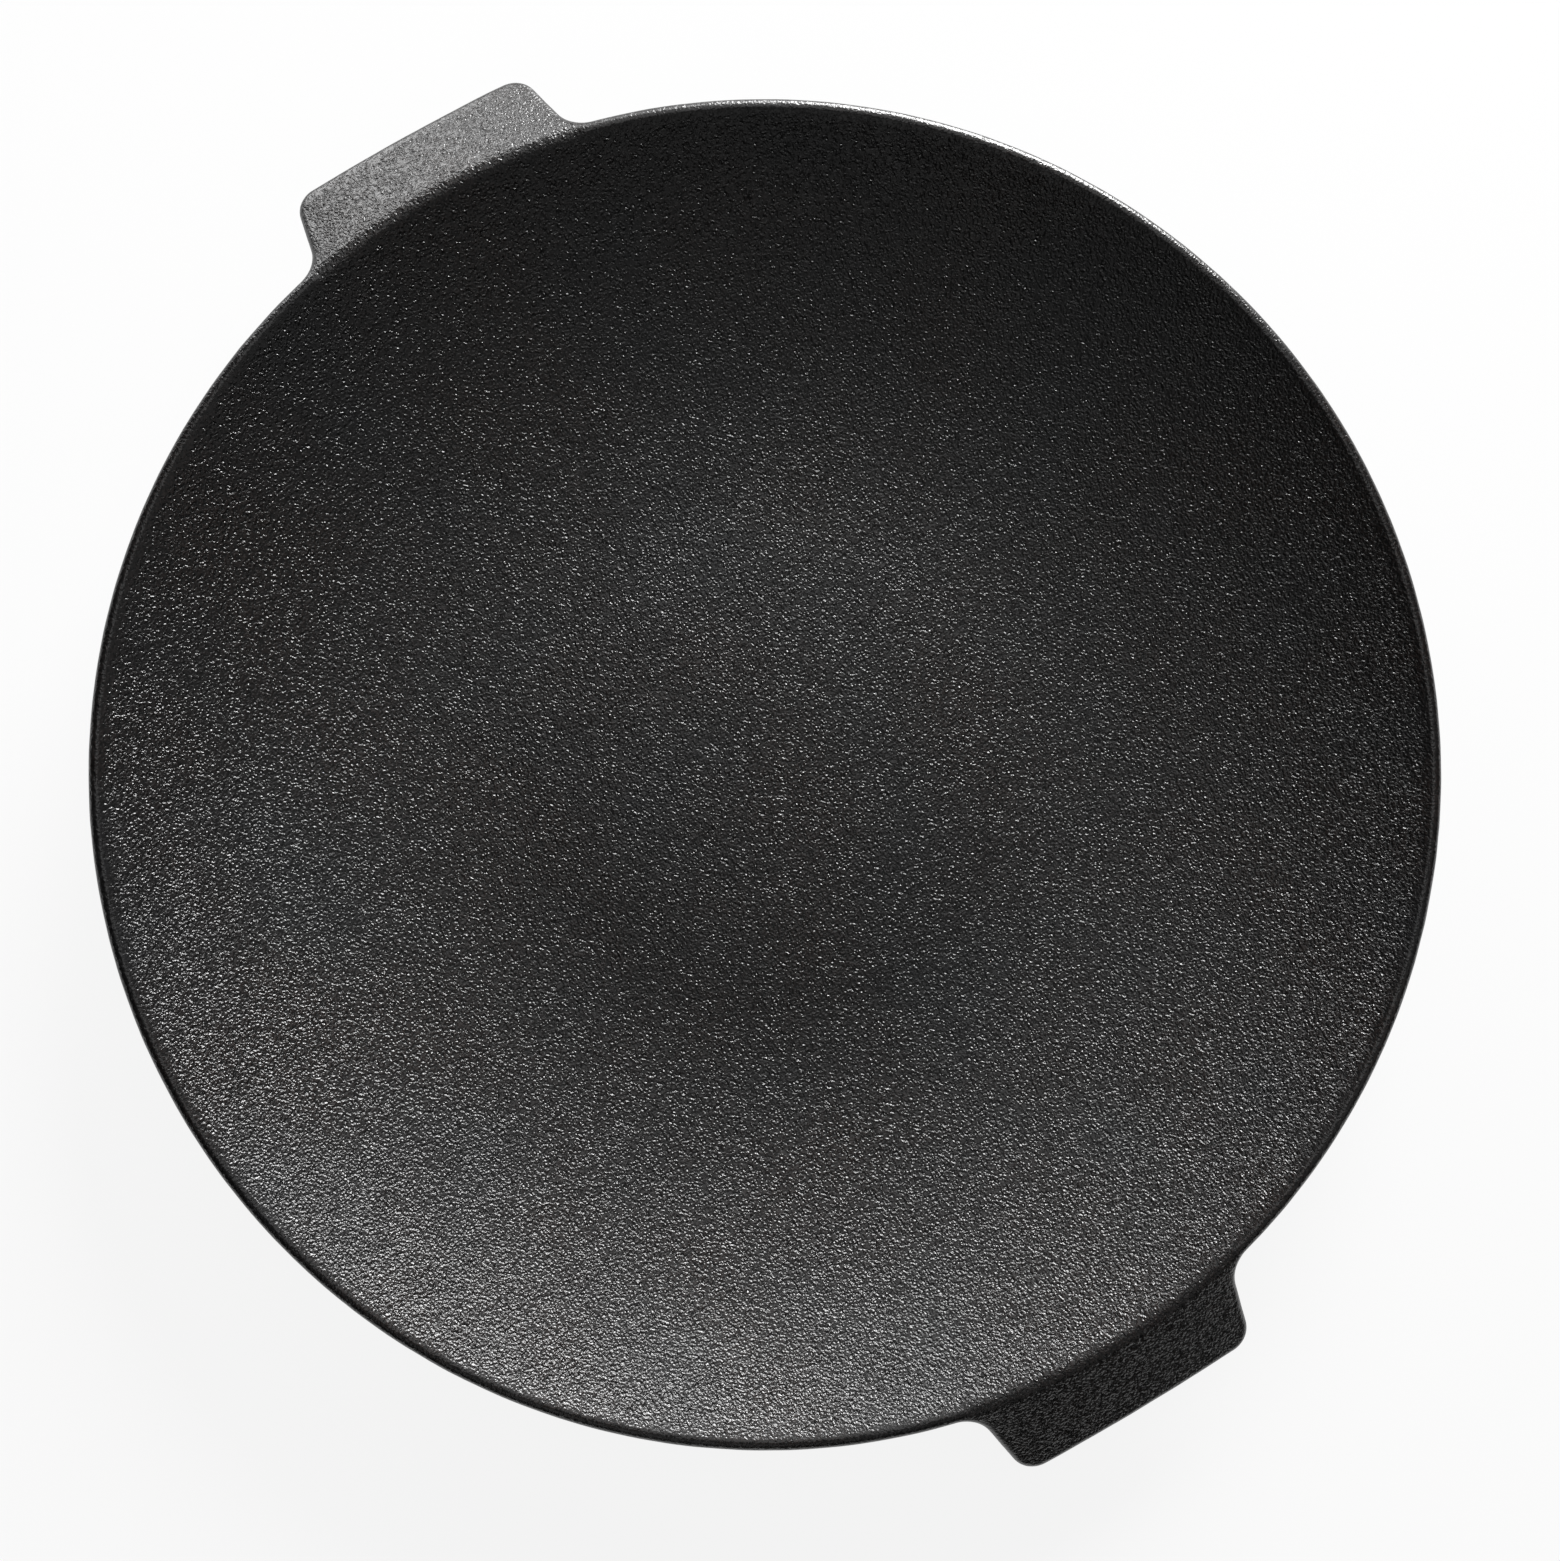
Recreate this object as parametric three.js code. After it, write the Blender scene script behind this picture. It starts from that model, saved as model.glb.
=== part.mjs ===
// A round cast iron grill plate: a shallow dish with a full round lip and two drooping tab handles.
// It is a single sand casting, with the same wall all over, so it is one solid.
// It lies on its flat base with +Z up and the handles along X, and the origin is the middle of the base.
import * as THREE from "three";

// Dish, in millimetres.
const plateRadius = 178; // to the outside of the lip
const wall = 4.6; // measured square to the surface, and the thickness of the lip too
const flatRadius = 64; // of the flat middle, from which the dish curves up in one arc
const rimHeight = 34; // from the table to the crest of the lip

// Handles, in millimetres and radians.
const handleReach = 18.6; // past the lip, at the middle of the tab
const handleWidth = 70; // along the outer edge, up to where the flanks would cross it
const handleBowRadius = 1700; // the outer edge bulges very slightly
const handleCornerRadius = 7;
const handleRootRadius = 8.8; // of the hollow curve from the lip into a flank
const handleFlankTaper = THREE.MathUtils.degToRad(9.3);
const handleDroop = THREE.MathUtils.degToRad(28);
const ridgeRadius = 4.5; // of the softened crest between the dish and a handle
const rootBlend = 4; // the reach over which the round lip turns into the handle's own edge
const creaseRun = 3; // how far the fillet under the ridge reaches each way

// How finely each stretch is divided.
const rimSteps = 46;
const rootSteps = 5;
const flankSteps = 2;
const cornerSteps = 5;
const edgeSteps = 8;
const dishSteps = 10;
const ridgeSteps = 4;
const tabSteps = 2;
const lipSteps = 6;
const creaseSteps = 3;

// The middle of the wall runs flat, then up one arc that ends at the centre of the round lip.
const lipRadius = wall / 2;
const crestRadius = plateRadius - lipRadius;
const crestCentreHeight = rimHeight - lipRadius;
const dishRun = crestRadius - flatRadius;
const dishRise = crestCentreHeight - lipRadius;
const dishRadius = (dishRun ** 2 + dishRise ** 2) / (2 * dishRise);
const dishCentreHeight = lipRadius + dishRadius;
const rimSlope = 2 * Math.atan(dishRise / dishRun);
const faceRadius = dishRadius - lipRadius; // of the cooking face
const underRadius = dishRadius + lipRadius; // of the underside

const mix = THREE.MathUtils.lerp;

// Plan outline of a handle, on +X. A flank is the straight line at flankOffset along flankOut.
const origin = new THREE.Vector2();
const handleEdge = plateRadius + handleReach;
const bowCentre = new THREE.Vector2(handleEdge - handleBowRadius, 0);
const flankOut = new THREE.Vector2(Math.sin(handleFlankTaper), Math.cos(handleFlankTaper));
const flankIn = new THREE.Vector2(-flankOut.y, flankOut.x);
const flankOffset = flankOut.dot(new THREE.Vector2(handleEdge, handleWidth / 2));

// The centre of an arc that touches the flank from one side and is at the given distance from middle.
function centreBesideFlank(side, middle, distance) {
  const foot = flankOut.clone().multiplyScalar(flankOffset + side);
  const toMiddle = middle.clone().sub(foot);
  const reach = Math.sqrt(distance ** 2 - toMiddle.dot(flankOut) ** 2);
  return foot.addScaledVector(flankIn, toMiddle.dot(flankIn) - reach);
}

const cornerCentre = centreBesideFlank(-handleCornerRadius, bowCentre, handleBowRadius - handleCornerRadius);
const rootCentre = centreBesideFlank(handleRootRadius, origin, plateRadius + handleRootRadius);
const rootTurn = rootCentre.angle(); // where the hollow curve leaves the lip
const flankTurn = flankOut.angle();
const bowTurn = cornerCentre.clone().sub(bowCentre).angle();

// The mirror of a point on the handle's other flank.
const mirrored = (point) => new THREE.Vector2(point.x, -point.y);

function arc(centre, radius, from, to, clockwise = false) {
  return new THREE.EllipseCurve(centre.x, centre.y, radius, radius, from, to, clockwise);
}

// The handle's outline from lip to lip, anticlockwise, as tangent curves with their numbers of steps.
function handleOutline() {
  const outer = cornerCentre.clone().addScaledVector(flankOut, handleCornerRadius);
  const root = rootCentre.clone().addScaledVector(flankOut, -handleRootRadius);
  return [
    [arc(mirrored(rootCentre), handleRootRadius, Math.PI - rootTurn, Math.PI - flankTurn, true), rootSteps],
    [new THREE.LineCurve(mirrored(root), mirrored(outer)), flankSteps],
    [arc(mirrored(cornerCentre), handleCornerRadius, -flankTurn, -bowTurn), cornerSteps],
    [arc(bowCentre, handleBowRadius, -bowTurn, bowTurn), edgeSteps],
    [arc(cornerCentre, handleCornerRadius, bowTurn, flankTurn), cornerSteps],
    [new THREE.LineCurve(outer, root), flankSteps],
    [arc(rootCentre, handleRootRadius, flankTurn - Math.PI, rootTurn - Math.PI, true), rootSteps],
  ];
}

// One column of the casting for each outline point: the point, the way out of the plate there, and the turn
// about Z at which its section crosses the crest. Under a handle the turns are spread along the outline.
function columnsOf(curves, turnFrom, turnTo) {
  const total = curves.reduce((sum, [curve]) => sum + curve.getLength(), 0);
  const columns = [];
  let before = 0;
  for (const [curve, steps] of curves) {
    for (let step = 0; step < steps; step++) {
      const share = step / steps;
      const along = curve.getTangent(share);
      columns.push({
        edge: curve.getPoint(share),
        out: new THREE.Vector2(along.y, -along.x),
        turn: mix(turnFrom, turnTo, (before + share * curve.getLength()) / total),
      });
    }
    before += curve.getLength();
  }
  return columns;
}

function turned(columns, angle) {
  return columns.map(({ edge, out, turn }) => ({
    edge: edge.clone().rotateAround(origin, angle),
    out: out.clone().rotateAround(origin, angle),
    turn: turn + angle,
  }));
}

const handleColumns = columnsOf(handleOutline(), -rootTurn, rootTurn);
const rimArc = arc(origin, plateRadius, rootTurn, Math.PI - rootTurn);
const rimColumns = columnsOf([[rimArc, rimSteps]], rootTurn, Math.PI - rootTurn);
const halfTurn = [...handleColumns, ...rimColumns];
const allColumns = [...halfTurn, ...turned(halfTurn, Math.PI)];

// A point at a turn about Z, a radius and a height.
function polar(turn, radius, height) {
  return new THREE.Vector3(radius * Math.cos(turn), radius * Math.sin(turn), height);
}

// Points along a dish arc of the given radius, from one slope to another.
function dishArc(turn, radius, fromSlope, toSlope, steps) {
  return Array.from({ length: steps + 1 }, (_, step) => {
    const slope = mix(fromSlope, toSlope, step / steps);
    return polar(turn, flatRadius + radius * Math.sin(slope), dishCentreHeight - radius * Math.cos(slope));
  });
}

// The section of one column, from the middle of the cooking face over the lip to the middle of the base.
// On the plain rim the ridge and the lip are one round, and the tab between them has no length.
function section({ edge, out, turn }) {
  const lipCentre = edge.clone().addScaledVector(out, -lipRadius);
  const reach = lipCentre.length() - crestRadius;
  const share = THREE.MathUtils.smoothstep(reach, 0, rootBlend);
  const lipHeight = crestCentreHeight - reach * Math.tan(handleDroop);

  const ridge = mix(lipRadius, ridgeRadius, share);
  const ridgeHeight = dishCentreHeight - Math.sqrt((faceRadius + ridge) ** 2 - dishRun ** 2);
  const ridgeStart = Math.asin(dishRun / (faceRadius + ridge));
  const points = [polar(turn, 0, wall), ...dishArc(turn, faceRadius, 0, ridgeStart, dishSteps)];
  for (let step = 1; step <= ridgeSteps; step++) {
    const lean = mix(-ridgeStart, handleDroop, step / ridgeSteps);
    points.push(polar(turn, crestRadius + ridge * Math.sin(lean), ridgeHeight + ridge * Math.cos(lean)));
  }

  const outwards = out.dot(lipCentre.clone().normalize());
  const lipStart = Math.atan(Math.tan(handleDroop) * outwards);
  const lipEnd = mix(Math.PI - rimSlope, Math.PI + lipStart, share);
  const lip = Array.from({ length: lipSteps + 1 }, (_, step) => {
    const lean = mix(lipStart, lipEnd, step / lipSteps);
    const flat = lipCentre.clone().addScaledVector(out, lipRadius * Math.sin(lean));
    return new THREE.Vector3(flat.x, flat.y, lipHeight + lipRadius * Math.cos(lean));
  });
  const ridgeEnd = points.at(-1);
  for (let step = 1; step < tabSteps; step++) points.push(ridgeEnd.clone().lerp(lip[0], step / tabSteps));
  points.push(...lip);

  const underLip = lip.at(-1);
  const creaseSlope = rimSlope - creaseRun / underRadius;
  const under = dishArc(turn, underRadius, creaseSlope, 0, dishSteps);
  const [crease] = dishArc(turn, underRadius, rimSlope, rimSlope, 1);
  const tabLength = crease.distanceTo(underLip);
  const onTab = crease.clone().lerp(underLip, Math.min(1, creaseRun / Math.max(tabLength, creaseRun)));
  points.push(...new THREE.QuadraticBezierCurve3(onTab, crease, under[0]).getPoints(creaseSteps));
  points.push(...under.slice(1), polar(turn, 0, 0));
  return points;
}

// Skins the sections into one closed surface. All sections start and end at the same two middle points, and
// points of a section that coincide share one vertex.
function loft(sections) {
  const samePoint = wall / 1e6;
  const positions = [];
  const addVertex = (point) => positions.push(point.x, point.y, point.z) / 3 - 1;
  const topMiddle = addVertex(sections[0][0]);
  const bottomMiddle = addVertex(sections[0].at(-1));
  const rows = sections.map((points) => {
    const row = [topMiddle];
    for (let station = 1; station < points.length - 1; station++) {
      const joined = points[station].distanceTo(points[station - 1]) < samePoint;
      row.push(joined ? row.at(-1) : addVertex(points[station]));
    }
    return [...row, bottomMiddle];
  });

  const triangles = [];
  rows.forEach((here, column) => {
    const next = rows[(column + 1) % rows.length];
    for (let station = 0; station < here.length - 1; station++) {
      const [a, b, c, d] = [here[station], here[station + 1], next[station + 1], next[station]];
      if (a !== b && b !== c) triangles.push(a, b, c);
      if (c !== d && d !== a) triangles.push(a, c, d);
    }
  });

  const geometry = new THREE.BufferGeometry();
  geometry.setAttribute("position", new THREE.Float32BufferAttribute(positions, 3));
  geometry.setIndex(triangles);
  geometry.computeVertexNormals();
  return geometry;
}

const seasonedIron = new THREE.MeshStandardMaterial({ color: 0x2b2b2c, roughness: 0.5, metalness: 0 });

const grillPlate = new THREE.Group();
const casting = new THREE.Mesh(loft(allColumns.map(section)), seasonedIron);
casting.name = "grill_plate";
grillPlate.add(casting);

export default grillPlate;
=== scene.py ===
import math

import bmesh
import bpy
import numpy as np
from mathutils import Euler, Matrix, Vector


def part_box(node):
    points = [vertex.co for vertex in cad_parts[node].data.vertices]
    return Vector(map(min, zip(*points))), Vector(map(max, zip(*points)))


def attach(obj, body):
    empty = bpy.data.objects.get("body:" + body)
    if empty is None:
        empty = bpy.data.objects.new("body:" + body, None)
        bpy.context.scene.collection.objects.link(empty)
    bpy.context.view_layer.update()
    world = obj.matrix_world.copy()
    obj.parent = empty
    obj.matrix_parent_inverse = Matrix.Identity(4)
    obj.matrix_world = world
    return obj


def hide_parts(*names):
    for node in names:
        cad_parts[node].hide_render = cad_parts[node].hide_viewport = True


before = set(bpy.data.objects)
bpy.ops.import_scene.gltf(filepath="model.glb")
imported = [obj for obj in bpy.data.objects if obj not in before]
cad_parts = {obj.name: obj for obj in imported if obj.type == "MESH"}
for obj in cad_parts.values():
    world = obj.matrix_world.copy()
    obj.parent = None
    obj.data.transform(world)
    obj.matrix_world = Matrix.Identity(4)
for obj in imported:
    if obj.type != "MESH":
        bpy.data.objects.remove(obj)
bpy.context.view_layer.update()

# The casting.
# The plate is poured in one piece of grey iron in a sand mould. Its flat middle runs into a rim that
# curves up in one arc to a full round lip, and two tab handles leave the lip and slope down outwards.

# The outer sizes are the CAD solid's own. The others are the same as in the part's source, in metres.
_, cad_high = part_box("grill_plate")
plate_radius = cad_high.y
rim_height = cad_high.z
handle_edge = cad_high.x
wall = 0.0046
flat_radius = 0.064
handle_width = 0.07
handle_bow_radius = 1.7
handle_corner_radius = 0.007
handle_root_radius = 0.0088
handle_flank_taper = math.radians(9.3)
handle_droop = math.radians(28)
ridge_radius = 0.0045
root_blend = 0.004
crease_run = 0.003

# The middle of the wall runs flat, then up one arc that ends at the centre of the round lip.
lip_radius = wall / 2
crest_radius = plate_radius - lip_radius
crest_height = rim_height - lip_radius
dish_run = crest_radius - flat_radius
dish_rise = crest_height - lip_radius
dish_radius = (dish_run**2 + dish_rise**2) / (2 * dish_rise)
dish_centre_height = lip_radius + dish_radius
rim_slope = 2 * math.atan(dish_rise / dish_run)
face_radius = dish_radius - lip_radius
under_radius = dish_radius + lip_radius

# How finely the mesh is divided. A disc of rings fills the middle, each ring with disc_sectors points
# more than the one inside it, and the outline has one section for each point of the last ring.
disc_sectors = 6
disc_rings = 96
root_steps = 14
flank_steps = 6
corner_steps = 14
edge_steps = 40
handle_steps = 2 * (root_steps + flank_steps + corner_steps) + edge_steps
rim_steps = disc_sectors * disc_rings // 2 - handle_steps


def turned_to(angle):
    """The direction at an angle about Z, or one for each of several angles."""
    return np.stack([np.cos(angle), np.sin(angle)], -1)


def lean_of(point):
    return math.atan2(point[1], point[0])


def arc(centre, radius, start, end, steps):
    """Outline points on an arc, without its last, and the way out of the casting there."""
    angle = np.linspace(start, end, steps, endpoint=False)
    hollow = -1 if end < start else 1
    return np.array(centre) + radius * turned_to(angle), hollow * turned_to(angle)


def line(start, end, outwards, steps):
    """Outline points on a straight line, without its last, and the way out of the casting there."""
    share = np.linspace(0, 1, steps, endpoint=False)[:, None]
    return start + (end - start) * share, np.repeat(outwards[None], steps, 0)


def beside_flank(side, middle, distance):
    """The centre of an arc that touches the flank from one side and is at a distance from middle."""
    foot = flank_out * (flank_offset + side)
    to_middle = middle - foot
    reach = math.sqrt(distance**2 - (to_middle @ flank_out) ** 2)
    return foot + flank_in * (to_middle @ flank_in - reach)


flank_lean = math.pi / 2 - handle_flank_taper
flank_out = turned_to(flank_lean)
flank_in = turned_to(flank_lean + math.pi / 2)
flank_offset = flank_out @ np.array([handle_edge, handle_width / 2])
bow_centre = np.array([handle_edge - handle_bow_radius, 0])
bow_to_corner = handle_bow_radius - handle_corner_radius
corner_centre = beside_flank(-handle_corner_radius, bow_centre, bow_to_corner)
root_centre = beside_flank(handle_root_radius, np.zeros(2), plate_radius + handle_root_radius)
root_turn = lean_of(root_centre)
bow_turn = lean_of(corner_centre - bow_centre)
flank_top = corner_centre + flank_out * handle_corner_radius
flank_foot = root_centre - flank_out * handle_root_radius
mirror = np.array([1, -1])
root_start = math.pi - root_turn
root_end = math.pi - flank_lean
outline = [
    arc(root_centre * mirror, handle_root_radius, root_start, root_end, root_steps),
    line(flank_foot * mirror, flank_top * mirror, flank_out * mirror, flank_steps),
    arc(corner_centre * mirror, handle_corner_radius, -flank_lean, -bow_turn, corner_steps),
    arc(bow_centre, handle_bow_radius, -bow_turn, bow_turn, edge_steps),
    arc(corner_centre, handle_corner_radius, bow_turn, flank_lean, corner_steps),
    line(flank_top, flank_foot, flank_out, flank_steps),
    arc(root_centre, handle_root_radius, -root_end, -root_start, root_steps),
    arc((0, 0), plate_radius, root_turn, math.pi - root_turn, rim_steps),
]
half_edge = np.concatenate([points for points, _ in outline])
half_out = np.concatenate([outwards for _, outwards in outline])

# Under a handle, the places where the sections cross the crest are spread along the outline.
to_next = np.linalg.norm(np.diff(half_edge[: handle_steps + 1], axis=0), axis=1)
along = np.concatenate([[0], np.cumsum(to_next)]) / to_next.sum()
handle_turn = root_turn * (2 * along[:-1] - 1)
rim_turn = np.linspace(root_turn, math.pi - root_turn, rim_steps, endpoint=False)
half_turn = np.concatenate([handle_turn, rim_turn])
edge = np.concatenate([half_edge, -half_edge])
out = np.concatenate([half_out, -half_out])
turn = np.concatenate([half_turn, half_turn + math.pi])


def mix(start, end, share):
    return start * (1 - share) + end * share


def shares(steps):
    """Shares from 0 to 1, one row for each station of a stretch."""
    return np.linspace(0, 1, steps + 1)[:, None]


def polar(angle, radius, height):
    flat = radius * np.cos(angle), radius * np.sin(angle)
    return np.stack(np.broadcast_arrays(*flat, height), -1)


def dish_arc(radius, from_slope, to_slope, steps):
    """Stations along the dish for every section, on an arc of the given radius."""
    slope = mix(from_slope, to_slope, shares(steps))
    height = dish_centre_height - radius * np.cos(slope)
    return polar(turn, flat_radius + radius * np.sin(slope), height)


def between(start, end, steps):
    """The stations strictly between two, on straight lines."""
    return start + (end - start) * shares(steps)[1:-1, :, None]


def rim_band():
    """The upper rim, the lip and the handles at every section, and how far each point is worn."""
    lip_centre = edge - out * lip_radius
    lip_distance = np.linalg.norm(lip_centre, axis=1)
    reach = lip_distance - crest_radius
    lip_height = crest_height - reach * math.tan(handle_droop)

    # How far a section belongs to a handle, from 0 on the plain rim to 1 past the handle's root.
    tab_share = np.clip(reach / root_blend, 0, 1)
    tab_share = tab_share * tab_share * (3 - 2 * tab_share)

    # Over the end of the dish and the crest.
    ridge = lip_radius + (ridge_radius - lip_radius) * tab_share
    ridge_height = dish_centre_height - np.sqrt((face_radius + ridge) ** 2 - dish_run**2)
    ridge_start = np.arcsin(dish_run / (face_radius + ridge))
    face = dish_arc(face_radius, band_slope, ridge_start, face_steps)
    lean = mix(-ridge_start, handle_droop, shares(ridge_steps)[1:])
    crest = polar(turn, crest_radius + ridge * np.sin(lean), ridge_height + ridge * np.cos(lean))

    # Round the lip, or the handle's own edge.
    outwards = (out * lip_centre).sum(1) / lip_distance
    lip_start = np.arctan(math.tan(handle_droop) * outwards)
    lip_end = mix(math.pi - rim_slope, math.pi + lip_start, tab_share)
    lean = mix(lip_start, lip_end, shares(lip_steps))
    flat = lip_centre + out * (lip_radius * np.sin(lean))[..., None]
    lip = np.concatenate([flat, (lip_height + lip_radius * np.cos(lean))[..., None]], -1)

    # Back under the handle, through the fillet and down the underside.
    under = dish_arc(under_radius, rim_slope - crease_run / under_radius, band_slope, face_steps)
    [crease] = dish_arc(under_radius, rim_slope, rim_slope, 0)
    tab_length = np.linalg.norm(lip[-1] - crease, axis=1)
    run = np.minimum(1, crease_run / np.maximum(tab_length, crease_run))[:, None]
    on_tab = crease + (lip[-1] - crease) * run
    share = shares(crease_steps)[:-1, :, None]
    fillet = on_tab * (1 - share) ** 2 + crease * 2 * share * (1 - share) + under[0] * share**2

    # The lip is worn smooth all round, and the crest with it, but half as much on a handle.
    on_top = 1 - tab_share / 2
    stretches = [
        (face, np.linspace(-1, 1, len(face)).clip(0, 1)[:, None] * on_top),
        (crest, on_top),
        (between(crest[-1], lip[0], tab_steps), on_top),
        (lip, 1),
        (between(lip[-1], on_tab, tab_steps), 0),
        (fillet, 0),
        (under, 0),
    ]
    stations = np.concatenate([points for points, _ in stretches])
    worn_there = [np.broadcast_to(worn, points.shape[:2]) for points, worn in stretches]
    return stations, np.concatenate(worn_there)


def disc(radius, height):
    """The rings on the flat middle and the dish, out to one that has a point for each section."""
    whole_run = flat_radius + radius * band_slope
    whole_turn = np.append(turn, turn[0] + 2 * math.pi)
    points = [np.array([[0, 0, height]])]
    for ring in range(1, disc_rings + 1):
        place = np.arange(disc_sectors * ring) / ring * disc_rings
        angle = np.interp(place, np.arange(len(whole_turn)), whole_turn)
        run = whole_run * ring / disc_rings
        slope = max(0, run - flat_radius) / radius
        flat = min(run, flat_radius) + radius * math.sin(slope)
        points.append(polar(angle, flat, height + radius * (1 - math.cos(slope))))
    return np.concatenate(points)


def disc_faces(first):
    """The triangles between the rings of a disc, from the number of its first point."""
    faces = []
    inner = first
    outer = first + 1
    for ring in range(1, disc_rings + 1):
        inner_count = max(1, disc_sectors * (ring - 1))
        outer_count = disc_sectors * ring
        for step in range(outer_count):
            sector, place = divmod(step, ring)
            here = sector * (ring - 1) + place
            beside = outer + (step + 1) % outer_count
            faces.append((outer + step, beside, inner + here % inner_count))
            if place < ring - 1:
                faces.append((inner + here % inner_count, beside, inner + (here + 1) % inner_count))
        inner = outer
        outer += outer_count
    return faces


# The discs end a little below the crest, where the band takes over.
band_slope = rim_slope * 0.95
face_steps = 6
ridge_steps = 10
tab_steps = 8
lip_steps = 14
crease_steps = 6

top_points = disc(face_radius, wall)
under_points = disc(under_radius, 0)
band, band_wear = rim_band()
sections = len(turn)
top_faces = disc_faces(0)
under_faces = [face[::-1] for face in disc_faces(len(top_points))]
band_first = len(top_points) + len(under_points)
band_faces = []
for station in range(len(band) - 1):
    for column in range(sections):
        here = band_first + station * sections + column
        beside = band_first + station * sections + (column + 1) % sections
        band_faces.append((here, here + sections, beside + sections, beside))

smooth_mesh = bpy.data.meshes.new("smooth_casting")
all_points = np.concatenate([top_points, under_points, band.reshape(-1, 3)])
smooth_mesh.from_pydata(all_points.tolist(), [], top_faces + under_faces + band_faces)
worn_share = np.concatenate([np.zeros(band_first), band_wear.ravel()]).astype(np.float32)
smooth_mesh.attributes.new("worn", "FLOAT", "POINT").data.foreach_set("value", worn_share)

# The discs meet the band, and on the plain rim the stations of the tab all fall on one point.
same_point = 1e-6
edit = bmesh.new()
edit.from_mesh(smooth_mesh)
bmesh.ops.remove_doubles(edit, verts=edit.verts, dist=same_point)
bmesh.ops.dissolve_degenerate(edit, edges=edit.edges, dist=same_point)
edit.to_mesh(smooth_mesh)
edit.free()

# The seasoned iron finish.
# The sand of the mould leaves a skin of close, sharp grains, in clusters that stand out more or less.
# Baked oil turns it black, and where the oil lies thicker it is glossier and browner. The lip, and the
# handles to a lesser degree, are worn smoother by use. The low places of the grain carry painted shade.

grain_pitch = 0.0007
grain_depth = 0.00042
grain_start = 0.31
# Painted shade: where the grain is low, the base colour is painted nearly black, as the shade between
# the grains.
pit_shade_from = 0.4
pit_shade_to = 0.6
pit_shade_colour = (0.001, 0.001, 0.001, 1)
cluster_pitch = 0.0012
cluster_start = 0.57
flattest_cluster = 0.5
steepest_cluster = 1.8
grain_left_by_wear = 0.35
oil_pitch = 0.045
oil_start = 0.83
oil_detail = 3
thin_oil_colour = (0.0062, 0.0062, 0.0070, 1)
thick_oil_colour = (0.0108, 0.0070, 0.0058, 1)
thin_oil_roughness = 0.31
thick_oil_roughness = 0.28
iron_specular = 0.8


def add_node(tree, kind, values, **settings):
    """Adds a node with its settings, sets or links its inputs, and gives back its outputs."""
    added = tree.nodes.new(kind)
    for name, value in settings.items():
        setattr(added, name, value)
    for key, value in values.items():
        if isinstance(value, bpy.types.NodeSocket):
            tree.links.new(value, added.inputs[key])
        else:
            added.inputs[key].default_value = value
    return added.outputs


def maths(tree, operation, first, second):
    """The result of a Math node on two sockets or numbers."""
    return add_node(tree, "ShaderNodeMath", {0: first, 1: second}, operation=operation)["Value"]


iron = bpy.data.materials.new("seasoned_iron")
iron.use_nodes = True
finish = iron.node_tree
place = add_node(finish, "ShaderNodeTexCoord", {})["Object"]
worn = add_node(finish, "ShaderNodeAttribute", {}, attribute_name="worn")["Fac"]


def cloud(pitch, start, detail=1):
    """A cloudy value round 0.5 over the casting, with patches about as wide as pitch."""
    moved = {0: place, 1: (start, start, start)}
    vector = add_node(finish, "ShaderNodeVectorMath", moved, operation="ADD")["Vector"]
    sizes = {"Vector": vector, "Scale": 1 / pitch, "Detail": detail}
    return add_node(finish, "ShaderNodeTexNoise", sizes)["Fac"]


def spread(value, low, high, start=0.35, end=0.65):
    """Stretches a value to run from low to high between start and end, or else over a cloud's range."""
    ends = {"From Min": start, "From Max": end, "To Min": low, "To Max": high}
    return add_node(finish, "ShaderNodeMapRange", {"Value": value, **ends})["Result"]


def colour_between(share, first, second):
    """A colour from first to second by a share. These places on a Mix node are the ones for colours."""
    values = {0: share, 6: first, 7: second}
    return add_node(finish, "ShaderNodeMix", values, data_type="RGBA")[2]


grain = cloud(grain_pitch, grain_start)
clusters = cloud(cluster_pitch, cluster_start)
oil = cloud(oil_pitch, oil_start, oil_detail)

steepness = spread(clusters, flattest_cluster, steepest_cluster)
relief = maths(finish, "MULTIPLY", maths(finish, "SUBTRACT", grain, 0.5), steepness)
height = maths(finish, "MULTIPLY", relief, spread(worn, 1, grain_left_by_wear, 0, 1))
bump = add_node(finish, "ShaderNodeBump", {"Strength": 1, "Distance": grain_depth, "Height": height})

# Painted shade: the base colour goes to the near-black pit colour in the grain's low places, where
# shade falls between grains.
painted_pit_shade = spread(grain, 1, 0, pit_shade_from, pit_shade_to)
seasoned = colour_between(spread(oil, 0, 1), thin_oil_colour, thick_oil_colour)
iron_shader = finish.nodes["Principled BSDF"]
iron_shader.inputs["Specular IOR Level"].default_value = iron_specular
for name, value in (
    ("Base Color", colour_between(painted_pit_shade, seasoned, pit_shade_colour)),
    ("Roughness", spread(oil, thin_oil_roughness, thick_oil_roughness)),
    ("Normal", bump["Normal"]),
):
    finish.links.new(value, iron_shader.inputs[name])

# The cast skin.
# The walls of a sand mould are never quite even, so the iron swells and sinks by a tenth of a
# millimetre over the width of a fingertip. The skin only sinks inwards from the pattern's own shape.

swell_width = 0.008
swell_depth = 0.00025
swell_detail = 1.5
skin_seed = 7.0

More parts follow.
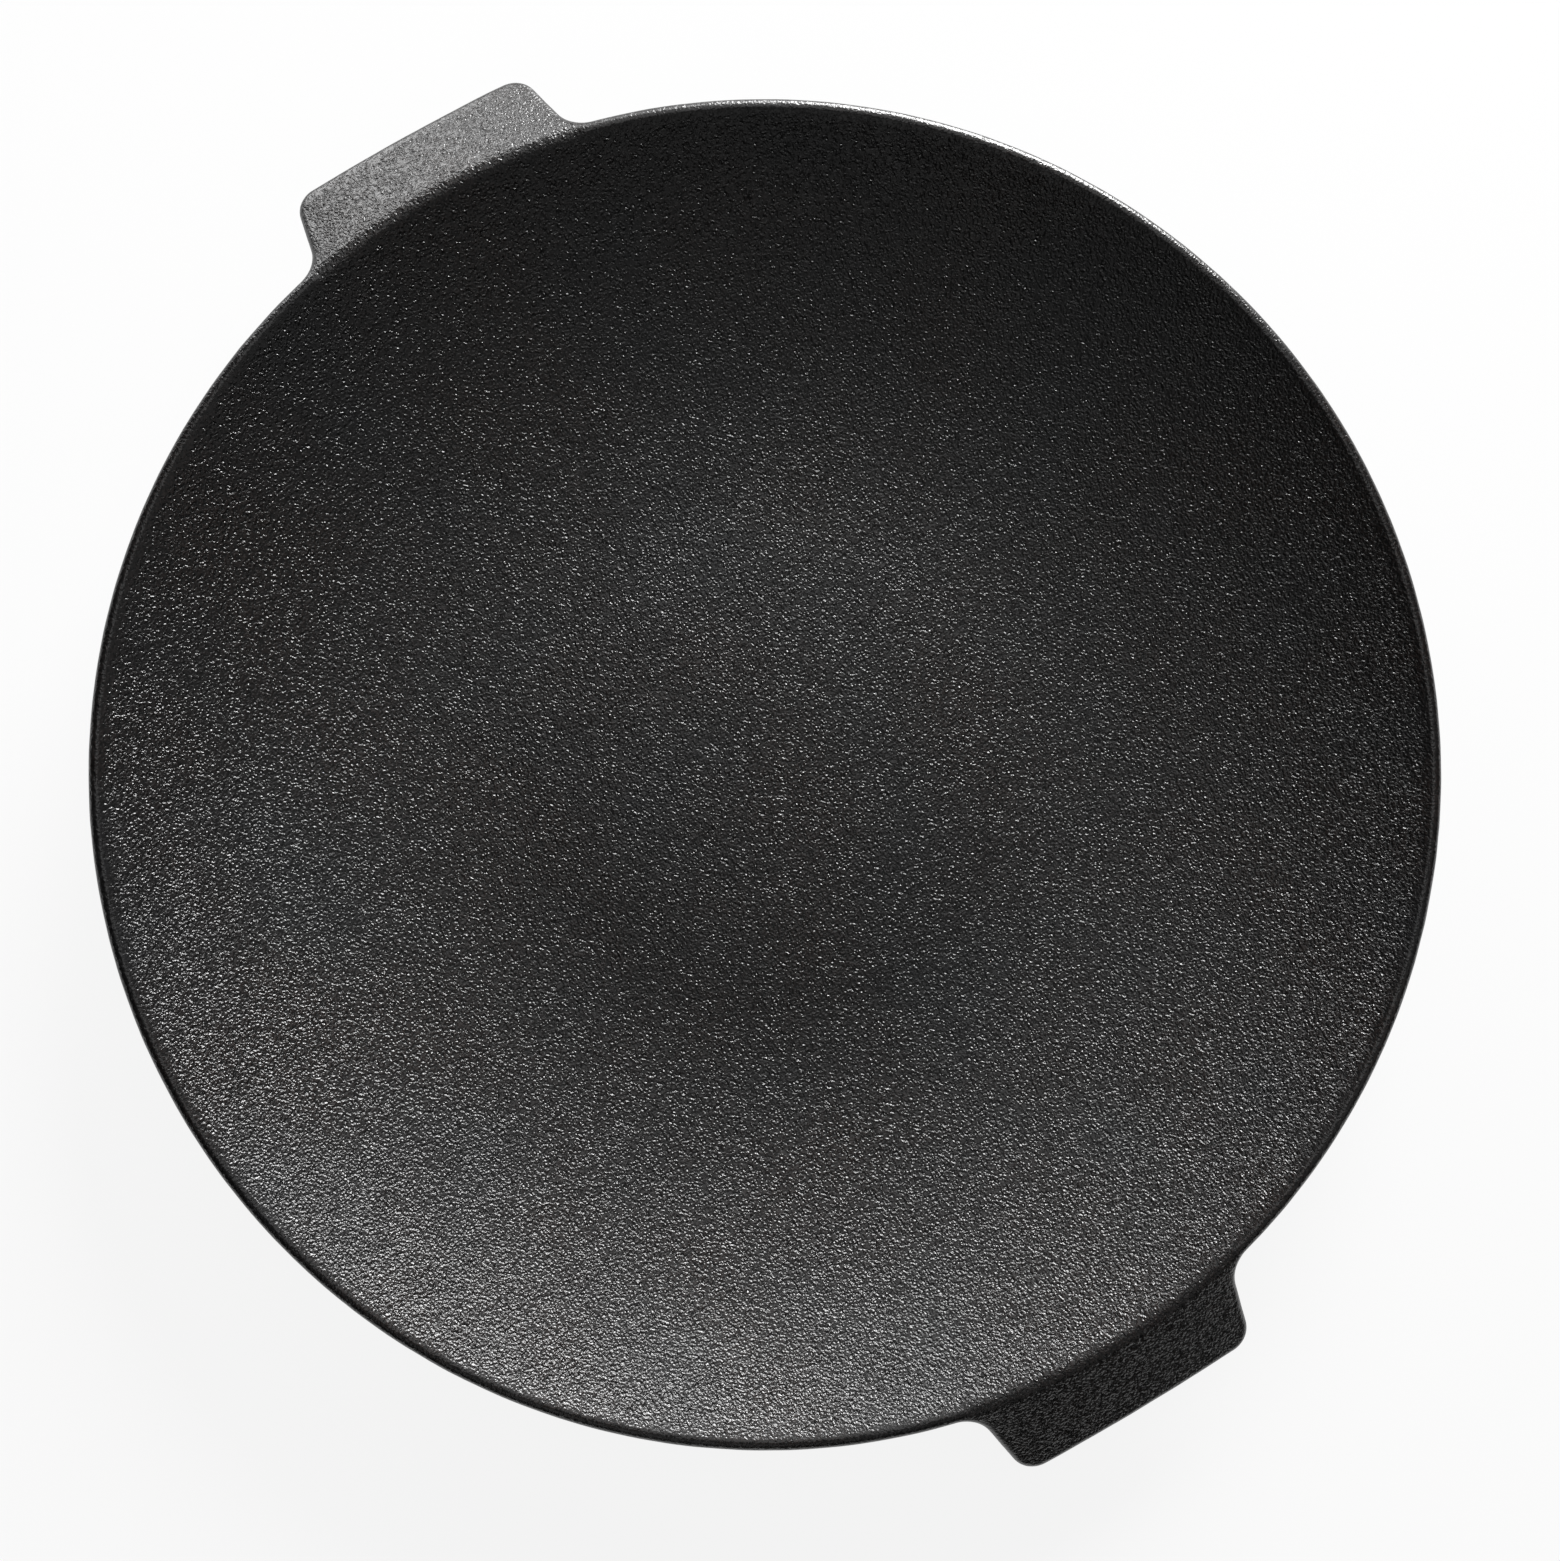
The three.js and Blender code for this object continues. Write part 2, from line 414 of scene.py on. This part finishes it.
skin = bpy.data.node_groups.new("cast_skin", "GeometryNodeTree")
skin.interface.new_socket("Geometry", in_out="INPUT", socket_type="NodeSocketGeometry")
skin.interface.new_socket("Geometry", in_out="OUTPUT", socket_type="NodeSocketGeometry")
skin_inputs = {}
for name, kind, value in (
    ("Swell Width", "NodeSocketFloat", swell_width),
    ("Swell Depth", "NodeSocketFloat", swell_depth),
    ("Seed", "NodeSocketFloat", skin_seed),
    ("Material", "NodeSocketMaterial", iron),
):
    socket = skin.interface.new_socket(name, in_out="INPUT", socket_type=kind)
    skin_inputs[socket.identifier] = value

given = add_node(skin, "NodeGroupInput", {})
scale = maths(skin, "DIVIDE", 1, given["Swell Width"])
swell_values = {"Scale": scale, "W": given["Seed"], "Detail": swell_detail}
swell = add_node(skin, "ShaderNodeTexNoise", swell_values, noise_dimensions="4D")["Fac"]
sink = maths(skin, "MULTIPLY", maths(skin, "MULTIPLY", swell, given["Swell Depth"]), -1)
normal = add_node(skin, "GeometryNodeInputNormal", {})["Normal"]
sunk = add_node(skin, "ShaderNodeVectorMath", {"Vector": normal, "Scale": sink}, operation="SCALE")
shape = given["Geometry"]
for kind, values in (
    ("GeometryNodeSetPosition", {"Offset": sunk["Vector"]}),
    ("GeometryNodeSetShadeSmooth", {}),
    ("GeometryNodeRealizeInstances", {}),
    ("GeometryNodeSetMaterial", {"Material": given["Material"]}),
):
    shape = add_node(skin, kind, {"Geometry": shape, **values})["Geometry"]
add_node(skin, "NodeGroupOutput", {"Geometry": shape})

pattern = bpy.data.objects.new("pattern", smooth_mesh)
bpy.context.collection.objects.link(pattern)
poured = pattern.modifiers.new("cast_skin", "NODES")
poured.node_group = skin
for identifier, value in skin_inputs.items():
    poured[identifier] = value
evaluated = pattern.evaluated_get(bpy.context.evaluated_depsgraph_get())
casting_mesh = bpy.data.meshes.new_from_object(evaluated)
bpy.data.objects.remove(pattern)
casting = bpy.data.objects.new("casting", casting_mesh)
bpy.context.collection.objects.link(casting)
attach(casting, "root")
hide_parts("grill_plate")

# The floor.
# The plate lies on a plain white table. What the camera and reflections see of it is lifted towards
# white, and the plate's own soft shadow stays on it.

floor_half = 6
floor_colour = (0.9, 0.9, 0.9, 1)
floor_roughness = 0.9
floor_lift = 0.88

floor_mesh = bpy.data.meshes.new("floor")
corners = [(-1, -1), (1, -1), (1, 1), (-1, 1)]
floor_mesh.from_pydata([(x * floor_half, y * floor_half, 0) for x, y in corners], [], [(0, 1, 2, 3)])
floor = bpy.data.objects.new("floor", floor_mesh)
bpy.context.collection.objects.link(floor)

table = bpy.data.materials.new("white_table")
table.use_nodes = True
table_top = table.node_tree
table_shader = table_top.nodes["Principled BSDF"]
table_shader.inputs["Base Color"].default_value = floor_colour
table_shader.inputs["Roughness"].default_value = floor_roughness
table_shader.inputs["Specular IOR Level"].default_value = 0
ray = add_node(table_top, "ShaderNodeLightPath", {})
seen = ray["Is Camera Ray"]
for kind in ("Is Glossy Ray", "Is Transmission Ray"):
    seen = maths(table_top, "MAXIMUM", seen, ray[kind])
lift = maths(table_top, "MULTIPLY", seen, floor_lift)
white = add_node(table_top, "ShaderNodeEmission", {})["Emission"]
surfaces = {0: lift, 1: table_shader.outputs["BSDF"], 2: white}
lifted = add_node(table_top, "ShaderNodeMixShader", surfaces)["Shader"]
table_top.links.new(lifted, table_top.nodes["Material Output"].inputs["Surface"])
floor_mesh.materials.append(table)

# The light.
# Wide soft studio lamps stand about the table. The main one is low beside the plate and rakes over its
# grain, and weaker ones pick out a handle, the lip and the parts of the dish that it leaves dark.

lamp_distance = 2.5


def lamp(name, azimuth, elevation, width, height, watts):
    """A round or oval lamp that faces the plate, from an azimuth and an elevation in degrees."""
    light = bpy.data.lights.new(name, "AREA")
    light.shape = "ELLIPSE"
    light.size = width
    light.size_y = height
    light.energy = watts
    stand = bpy.data.objects.new(name, light)
    lean = math.radians(elevation)
    flat = math.cos(lean) * turned_to(math.radians(azimuth))
    stand.location = Vector((*flat, math.sin(lean))) * lamp_distance
    stand.rotation_euler = stand.location.to_track_quat("Z", "Y").to_euler()
    stand.visible_camera = False
    bpy.context.collection.objects.link(stand)


lamp("raking_lamp", azimuth=-49, elevation=16, width=1.5, height=1.5, watts=150)
lamp("handle_lamp", azimuth=0, elevation=12, width=1.2, height=0.8, watts=20)
lamp("lip_lamp", azimuth=-30, elevation=28, width=1.8, height=1.8, watts=12)
lamp("overhead_lamp", azimuth=-30, elevation=74, width=1.6, height=1.6, watts=5.5)
lamp("left_fill_lamp", azimuth=-150, elevation=50, width=1.6, height=1.6, watts=1.6)
lamp("front_fill_lamp", azimuth=140, elevation=50, width=1.4, height=1.4, watts=2)

room_colour = (1, 1, 1, 1)
room_strength = 0.015
room = bpy.data.worlds.new("room")
room.use_nodes = True
room_light = room.node_tree.nodes["Background"].inputs
room_light["Color"].default_value = room_colour
room_light["Strength"].default_value = room_strength
bpy.context.scene.world = room

# The camera.
# It looks down on the cooking face from close above, turned so that one handle points up and left.

camera_place = (-0.01804, 0.03158, 0.60717)
camera_turn = Euler((math.radians(2.72), math.radians(-2.03), math.radians(-120)))
camera_data = bpy.data.cameras.new("camera")
camera_data.lens = 50.55
camera_data.sensor_width = 36
camera = bpy.data.objects.new("camera", camera_data)
camera.location = camera_place
camera.rotation_euler = camera_turn
bpy.context.collection.objects.link(camera)
bpy.context.scene.camera = camera
bpy.context.scene.view_settings.view_transform = "Standard"
